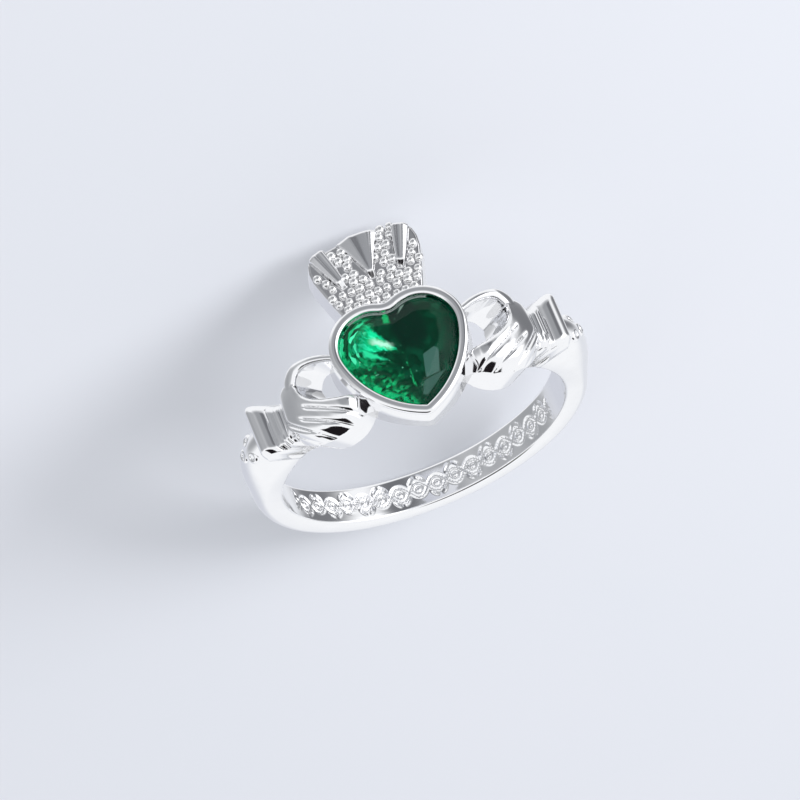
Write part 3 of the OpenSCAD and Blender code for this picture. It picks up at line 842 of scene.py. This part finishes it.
class Finish:
    """A node tree being filled in, of a material or of the world."""

    def __init__(self, owner):
        owner.use_nodes = True
        self.tree = owner.node_tree
        self.tree.nodes.clear()

    def add(self, kind, settings=None, sockets=None, out=0):
        """New node with its settings and its sockets' values or links, as one of its outputs."""
        node = self.tree.nodes.new(kind)
        for name, value in (settings or {}).items():
            if name == "stops":
                stops = node.color_ramp.elements
                while len(stops) < len(value):
                    stops.new(1)
                for stop, (place, colour) in zip(stops, value):
                    stop.position, stop.color = place, (*colour, 1)
            else:
                setattr(node, name, value)
        for name, value in (sockets or {}).items():
            if isinstance(value, Field):
                self.tree.links.new(value.socket, node.inputs[name])
            else:
                node.inputs[name].default_value = value
        return Field(self, node.outputs[out]) if node.outputs else None

    def blend(self, factor, first, second):
        """Colour between two colours or fields."""
        pick = [c if isinstance(c, Field) else (*c, 1) for c in (first, second)]
        return self.add("ShaderNodeMix", {"data_type": "RGBA"}, {0: factor, 6: pick[0], 7: pick[1]}, 2)

    def slope(self, value, start, end):
        """0 below start, 1 above end, smooth between."""
        return self.add("ShaderNodeMapRange", {"interpolation_type": "SMOOTHSTEP"},
                        {"Value": value, "From Min": start, "From Max": end})

    def noise(self, scale, detail=2, rough=0.5, twist=0):
        """Cloudy pattern, 0 to 1, with its scale in cells to the metre."""
        here = self.add("ShaderNodeTexCoord", out=3)
        return self.add("ShaderNodeTexNoise", None,
                        {"Vector": here, "Scale": scale, "Detail": detail, "Roughness": rough,
                         "Distortion": twist})

    def shards(self, u, v):
        """Random shade of each cell in a broken pattern over two fields, about 0.2 to 0.8."""
        where = self.add("ShaderNodeCombineXYZ", None, {0: u, 1: v})
        return self.add("ShaderNodeTexVoronoi", {"voronoi_dimensions": "2D"},
                        {"Vector": where, "Scale": 1.0}, 1)

    def ramp(self, share, stops):
        """Colour at a share, from stops that are each a share and a colour."""
        return self.add("ShaderNodeValToRGB", {"stops": stops}, {"Fac": share})

    def place(self, axis):
        """Place along one axis of the wearer's frame, in millimetres."""
        here = self.add("ShaderNodeTexCoord", out=3)
        return self.add("ShaderNodeVectorMath", {"operation": "DOT_PRODUCT"},
                        {0: here, 1: tuple(LAID[:, axis] / MM)}, 1)

    def inside(self, x, y, corners, soft):
        """1 inside a shape with straight sides, its corners given counter-clockwise."""
        share = 1
        for (x0, y0), (x1, y1) in zip(corners, corners[1:] + corners[:1]):
            run = math.hypot(x1 - x0, y1 - y0)
            a, b = (y0 - y1) / run, (x1 - x0) / run
            line = a * x0 + b * y0
            share = share * self.slope(x * a + y * b, line - soft, line + soft)
        return share

    def surface(self, **sockets):
        """Surface with these values or fields, a space in a socket's name written as _."""
        names = {key.replace("_", " "): value for key, value in sockets.items()}
        shader = self.add("ShaderNodeBsdfPrincipled", None, names)
        self.add("ShaderNodeOutputMaterial", None, {"Surface": shader})


# Painted shade of the silver between the beads, and height of its soft waves
PAINTED_BEAD_GAP_SHADE = (0.70, 0.70, 0.71)
WAVE_H = 0.02


def polished_silver(name, tone, rough, wave, shade_height=None):
    """Plated silver: a bright mirror with soft waves from the casting and faint polishing marks.
    Its last argument gives a height near which shade is painted on it, darker, as between the beads."""
    material = bpy.data.materials.new(name)
    finish = Finish(material)
    clouds = finish.noise(900, 3, 0.6)
    marks = finish.noise(9000, 4, 0.7)
    swell = finish.noise(450, 2, 0.4)
    deep = tuple(c * 0.94 for c in tone)
    colour = finish.blend(clouds, deep, tone)
    if shade_height:
        # Painted shade: darker near the plate's height, between the beads
        height = finish.slope(abs(finish.place(2) - shade_height), 0.03, 0.11)
        colour = finish.blend(height, PAINTED_BEAD_GAP_SHADE, colour)
    bump = finish.add("ShaderNodeBump", None,
                      {"Strength": wave, "Distance": WAVE_H * MM, "Height": swell})
    finish.surface(Base_Color=colour, Metallic=1.0, Roughness=rough + marks * 0.05, Normal=bump)
    return material


def green_glass():
    """Clear skin of the stone, a little green."""
    material = bpy.data.materials.new("green_glass")
    finish = Finish(material)
    clouds = finish.noise(500, 3, 0.6, twist=1.5)
    finish.surface(Base_Color=finish.blend(clouds, (0.80, 1.0, 0.88), (0.9, 1.0, 0.94)),
                   Roughness=0.01 + clouds * 0.01, IOR=1.22, Transmission_Weight=1.0)
    return material


# Facets of painted light glowing in the stone's depths, in millimetres: corners counter-clockwise, how
# far the ripple shifts their sides, how soft these are, how much the facet covers and its colour
DARK_WEDGE = (((-1.25, 0.62), (-0.25, 0.22), (-0.22, 0.40), (-1.0, 0.66)),
              0.15, 0.04, 0.8, (0.0, 0.05, 0.02))
BRIGHT_FACETS = (
    (((-2.2, 0.72), (-1.1, 0.10), (-1.55, 0.72), (-2.1, 1.15)), 0.5, 0.08, 0.85, (0.03, 0.85, 0.42)),
    (((-0.50, 2.2), (-0.12, 2.1), (-0.08, 2.6), (-0.35, 2.98)), 0.4, 0.08, 0.9, (0.002, 0.45, 0.14)),
    # Painted reflection: the grey glint in the right lobe
    (((0.50, 2.48), (0.80, 2.72), (0.98, 2.95), (0.72, 2.86)), 0.3, 0.04, 0.8, (0.24, 0.33, 0.30)))
# Painted reflections: two pale facets at the lower right
PALE_FACET_REFLECTIONS = (
    (((0.90, -0.33), (0.55, -1.68), (1.36, -1.60), (1.77, -0.36), (1.63, -0.11)),
     0, 0.02, 0.9, (0.062, 0.135, 0.125)),
    (((0.39, -1.80), (0.04, -2.56), (0.29, -2.67), (1.69, -1.62)),
     0, 0.02, 0.85, (0.045, 0.105, 0.095)))
CORE_X, CORE_Y = 0.78, 1.65
STREAK_X, STREAK_Y = -0.31, 0.38


class StoneGlowPaint(Finish):
    """Glowing finish of the stone's inner body: painted light and shade given off as emission.
    Each layer after the dark core is laid over the colour so far."""

    def __init__(self, owner):
        super().__init__(owner)
        self.x, self.y = self.place(0), self.place(1)
        self.soft = self.noise(800, 2, 0.5) - 0.5
        self.ripple = self.noise(2400, 3, 0.6) - 0.5

    def side_distance(self):
        """Distance from the middle of the left side's arc."""
        x, y = self.x + float(SIDE[0]), self.y - float(SIDE[1])
        return (x * x + y * y) ** 0.5

    def facet(self, colour, corners, drift, soft, cover, tint):
        """One straight-sided facet, its sides shifted by the ripple."""
        x = self.x + self.ripple * drift if drift else self.x
        return self.blend(self.inside(x, self.y, corners, soft) * cover, colour, tint)

    def dark_core(self):
        """Dark green at the right, with a black core."""
        cells = self.shards(self.x * 2.6 + self.ripple * 1.5, self.y * 2.2 + self.soft)
        colour = self.ramp(cells + self.ripple * 0.8, (
            (0.25, (0.0, 0.010, 0.006)), (0.6, (0.0, 0.025, 0.013)), (0.95, (0.001, 0.047, 0.025))))
        core = (self.x - CORE_X) ** 2 + ((self.y - CORE_Y) * 0.62) ** 2
        return self.blend(self.slope(core + self.soft * 0.7, 1.35, 0.5), colour, (0.001, 0.003, 0.005))

    def broken_greens(self, colour):
        """Broken greens at the lower left, brighter towards the edge."""
        x, y, ripple = self.x, self.y, self.ripple
        cells = self.shards(x * 4.4 - y * 2.0 + ripple, x * 2.4 + y * 6.2 + ripple * 2) + ripple * 0.8
        near_edge = self.slope(self.side_distance(), SIDE_R - 2.0, SIDE_R - 0.7)
        greens = self.ramp(cells + near_edge * 0.26 - 0.12, (
            (0.30, (0.0, 0.022, 0.010)), (0.55, (0.0, 0.065, 0.024)),
            (0.75, (0.0, 0.18, 0.058)), (0.95, (0.008, 0.52, 0.18))))
        return self.blend(self.slope(x + y * 0.15 + self.soft * 0.8, -0.35, -1.5), colour, greens)

    def lobe_arcs(self, colour):
        """Broken arcs along the left lobe."""
        x, y = self.x + (LOBE_X - 0.1), self.y - (LOBE_Y - 0.1)
        far = (x * x + y * y) ** 0.5
        cells = self.shards(far * 7 + self.ripple * 1.6, y.turn_from(x) * 2.4 + self.soft * 2)
        arcs = self.ramp(cells, ((0.30, (0.0, 0.035, 0.014)), (0.5, (0.0, 0.16, 0.055)),
                                 (0.62, (0.004, 0.50, 0.20)), (0.82, (0.10, 0.95, 0.55))))
        left = (self.slope(far + self.soft * 0.5, 0.75, 1.25) * self.slope(self.x, -0.9, -1.6)
                * self.slope(self.y, -0.1, 0.7))
        return self.blend(left, colour, arcs)

    def streaks(self, colour):
        """Two bright streaks that run to a point at the core, with a dark wedge between them and a
        painted highlight on them.
        """
        x, y = self.x - STREAK_X, self.y - STREAK_Y
        along = x * -0.8 + y * 0.6
        across = x * 0.6 + y * 0.8 + self.ripple * 0.5
        fan = (self.slope(across - along * 0.50, 0.08, -0.14)
               * self.slope(across + along * 0.30, -0.06, 0.10))
        glow = fan * self.slope(along + self.soft, 2.7, 1.6)
        lit = self.ramp(self.shards(along * 2.2 + self.ripple, across * 9 - along * 2), (
            (0.30, (0.0, 0.50, 0.19)), (0.5, (0.002, 0.80, 0.36)), (0.75, (0.03, 0.95, 0.52))))
        colour = self.facet(self.blend(glow, colour, lit), *DARK_WEDGE)
        # Painted highlight: a hot spot of pale mint on the streaks
        painted_hot_spot = (self.slope(abs(across - 0.17), 0.30, 0.04)
               * self.slope(abs(along - 1.05 + self.soft * 0.5), 0.85, 0.2))
        return self.blend(painted_hot_spot * 0.95, colour, (0.62, 1.0, 0.84))

    def bright_facets(self, colour):
        """Green facets at the left and under the cleft, and a painted reflection as a grey glint in the
        right lobe.
        """
        for shape in BRIGHT_FACETS:
            colour = self.facet(colour, *shape)
        return colour

    def left_edge(self, colour):
        """Bright line inside the left edge."""
        edge = (self.slope(self.side_distance(), SIDE_R - 0.85, SIDE_R - 0.66)
                * self.slope(self.x, -0.2, -0.6) * self.slope(self.ripple + self.soft, -0.12, 0.10))
        return self.blend(edge * 0.8, colour, (0.005, 0.55, 0.20))

    def seam(self, colour):
        """Thin bright seam between the two halves."""
        line = (self.slope(abs(self.x + 0.10 + self.ripple * 0.5), 0.06, 0.01)
                * self.slope(self.y, -2.6, -2.2))
        line = line * self.slope(self.y, 0.25, 0.1) * self.slope(self.ripple, -0.1, 0.1)
        return self.blend(line, colour, (0.01, 0.42, 0.14))

    def painted_facet_reflections(self, colour):
        """Painted reflections on two pale facets at the lower right side."""
        for shape in PALE_FACET_REFLECTIONS:
            colour = self.facet(colour, *shape)
        return colour

    def painted_glints(self, colour):
        """Small painted glints, more of them to the left."""
        glint_mask = (self.slope(self.noise(3400, 2, 0.5), 0.69, 0.76)
                 * self.slope(self.x + self.soft * 2, 1.0, -0.6))
        return self.blend(glint_mask * 0.8, colour, (0.25, 0.90, 0.60))


def stone_depths():
    """Painted light caught inside the stone, given off as glow: a dark core, bright streaks to the left
    and greens below.
    """
    material = bpy.data.materials.new("stone_depths")
    depths = StoneGlowPaint(material)
    colour = depths.dark_core()
    for layer in (depths.broken_greens, depths.lobe_arcs, depths.streaks, depths.bright_facets,
                  depths.left_edge, depths.seam, depths.painted_facet_reflections, depths.painted_glints):
        colour = layer(colour)
    # The painted colour is given off as emission, so this body glows though it is no lamp
    depths.surface(Base_Color=(0.002, 0.02, 0.01, 1), Roughness=0.6, Specular_IOR_Level=0.0,
                   Emission_Color=colour, Emission_Strength=1.0)
    return material


def pale_floor():
    """Matt bluish white floor."""
    material = bpy.data.materials.new("pale_floor")
    finish = Finish(material)
    cloud = finish.noise(60, 2)
    finish.surface(Base_Color=finish.blend(cloud, (0.43, 0.445, 0.478), (0.45, 0.455, 0.488)),
                   Roughness=0.75 + cloud * 0.1, Specular_IOR_Level=0.1,
                   Emission_Color=(0.222, 0.232, 0.25, 1), Emission_Strength=1.0)
    return material


# Studio

def add_camera():
    """Camera at the photograph's angle to the ring, placed in the wearer's frame."""
    place = (-25.82, -115.87, 276.16)
    right = (0.9314, -0.3579, -0.0667)
    up = (0.3541, 0.8480, 0.3944)
    back = np.cross(right, up)
    data = bpy.data.cameras.new("camera")
    data.sensor_width, data.lens = 36, 237.88
    data.clip_start, data.clip_end = 0.01, 10
    camera = bpy.data.objects.new("camera", data)
    turn = Matrix(np.column_stack([laid(right), laid(up), laid(back)]).tolist()).to_4x4()
    camera.matrix_world = Matrix.Translation(laid(place) * MM) @ turn
    bpy.context.scene.collection.objects.link(camera)
    bpy.context.scene.camera = camera


# Light tent, and its patches: direction, degrees within which each is full and past which it
# is gone, and colour. The last one is a bright lamp at the left
TENT_WHITE = (0.97, 0.98, 1.0)
GREY_PATCHES = (
    ((-0.09, -1, -0.02), 12, 48, (0.33, 0.34, 0.36)),
    ((-0.45, -0.89, -0.07), 3, 18, (0.17, 0.175, 0.19)),
    ((0.92, -0.07, -0.39), 0, 42, (0.36, 0.37, 0.39)),
    ((0.75, -0.64, -0.16), 0, 36, (0.42, 0.43, 0.45)),
    ((-0.89, 0.09, -0.45), 0, 38, (0.20, 0.205, 0.22)))
LATE_PATCHES = (
    ((0.45, 0.66, -0.60), 0, 34, (0.64, 0.66, 0.73)),
    ((-0.76, -0.42, 0.36), 12, 34, (2.2, 2.2, 2.25)))


def add_world():
    """White light tent with grey patches, a bright one at the left and a dark gap overhead."""
    world = bpy.data.worlds.new("tent")
    bpy.context.scene.world = world
    finish = Finish(world)
    look = finish.add("ShaderNodeTexCoord")

    def toward(direction):
        """1 in a direction, -1 in the opposite one."""
        d = Vector(direction).normalized()
        return finish.add("ShaderNodeVectorMath", {"operation": "DOT_PRODUCT"}, {0: look, 1: d}, 1)

    def patched(colour, patches):
        """Colour with each patch laid over it in turn."""
        for direction, inner, outer, tint in patches:
            full, gone = math.cos(math.radians(inner)), math.cos(math.radians(outer))
            colour = finish.blend(finish.slope(toward(direction), gone, full), colour, tint)
        return colour

    x, y, z = toward((1, 0, 0)), toward((0, 1, 0)), toward((0, 0, 1))
    colour = patched(TENT_WHITE, GREY_PATCHES)
    below = finish.slope(z, 0.12, -0.25) * finish.slope(y, 0.25, 0.75)
    colour = patched(finish.blend(below, colour, (0.77, 0.79, 0.84)), LATE_PATCHES)
    gap_x, gap_y = (x - 0.33) * 1.9, (y - 0.12) * 2.9
    gap = finish.slope(gap_x * gap_x + gap_y * gap_y, 1.2, 0.8) * finish.slope(z, 0.1, 0.3)
    colour = finish.blend(gap, colour, (0.012, 0.010, 0.012))
    light = finish.add("ShaderNodeBackground", None, {"Color": colour, "Strength": 1.0})
    finish.add("ShaderNodeOutputWorld", None, {"Surface": light})


def add_key_light():
    """Soft round light from the left, which the silver doesn't mirror."""
    away = Vector((-0.90, -0.30, 0.31)).normalized()
    distance = 0.35
    data = bpy.data.lights.new("key", "AREA")
    data.shape, data.size, data.energy = "DISK", 0.18, 1.8
    light = bpy.data.objects.new("key", data)
    light.location = away * distance
    light.rotation_euler = away.to_track_quat("Z", "Y").to_euler()
    light.visible_glossy = False
    bpy.context.scene.collection.objects.link(light)


def add_floor():
    """Wide floor under the ring, which the silver doesn't mirror. Its size is in metres."""
    size = 2.0
    mesh = bpy.data.meshes.new("floor")
    corners = [(-size, -size), (size, -size), (size, size), (-size, size)]
    mesh.from_pydata([(x, y, FLOOR_Z) for x, y in corners], [], [(0, 1, 2, 3)])
    floor = bpy.data.objects.new("floor", mesh)
    bpy.context.scene.collection.objects.link(floor)
    floor.data.materials.append(pale_floor())
    floor.visible_glossy = False


def dress(pieces, material, node):
    """Give pieces their finish, and say which solid they ride with and stand for."""
    for item in pieces:
        item.data.materials.clear()
        item.data.materials.append(material)
        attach(item, "root")
        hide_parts(node)


add_camera()
bpy.context.scene.view_settings.view_transform = "Standard"

silver = polished_silver("polished_silver", (0.97, 0.972, 0.98), 0.05, 0.25)
cast_silver = polished_silver("cast_silver", (0.95, 0.95, 0.96), 0.14, 0.3, BORE_R + PLATE_T)
bead_silver = polished_silver("bead_silver", (1.0, 1.0, 1.0), 0.2, 0.3)

dress([band()] + shoulder_rings(), silver, "ring_body")
dress([bezel(), bezel_floor()], silver, "ring_body")
dress([cuff("cuff_right", 1), cuff("cuff_left", -1)], silver, "ring_body")
dress([hand("hand_right", 1), hand("hand_left", -1)], silver, "ring_body")
dress([crown()], cast_silver, "ring_body")
dress([beads()], bead_silver, "ring_body")
dress([green_heart()], green_glass(), "heart_stone")
dress([stone_core()], stone_depths(), "heart_stone")

add_world()
add_key_light()
add_floor()
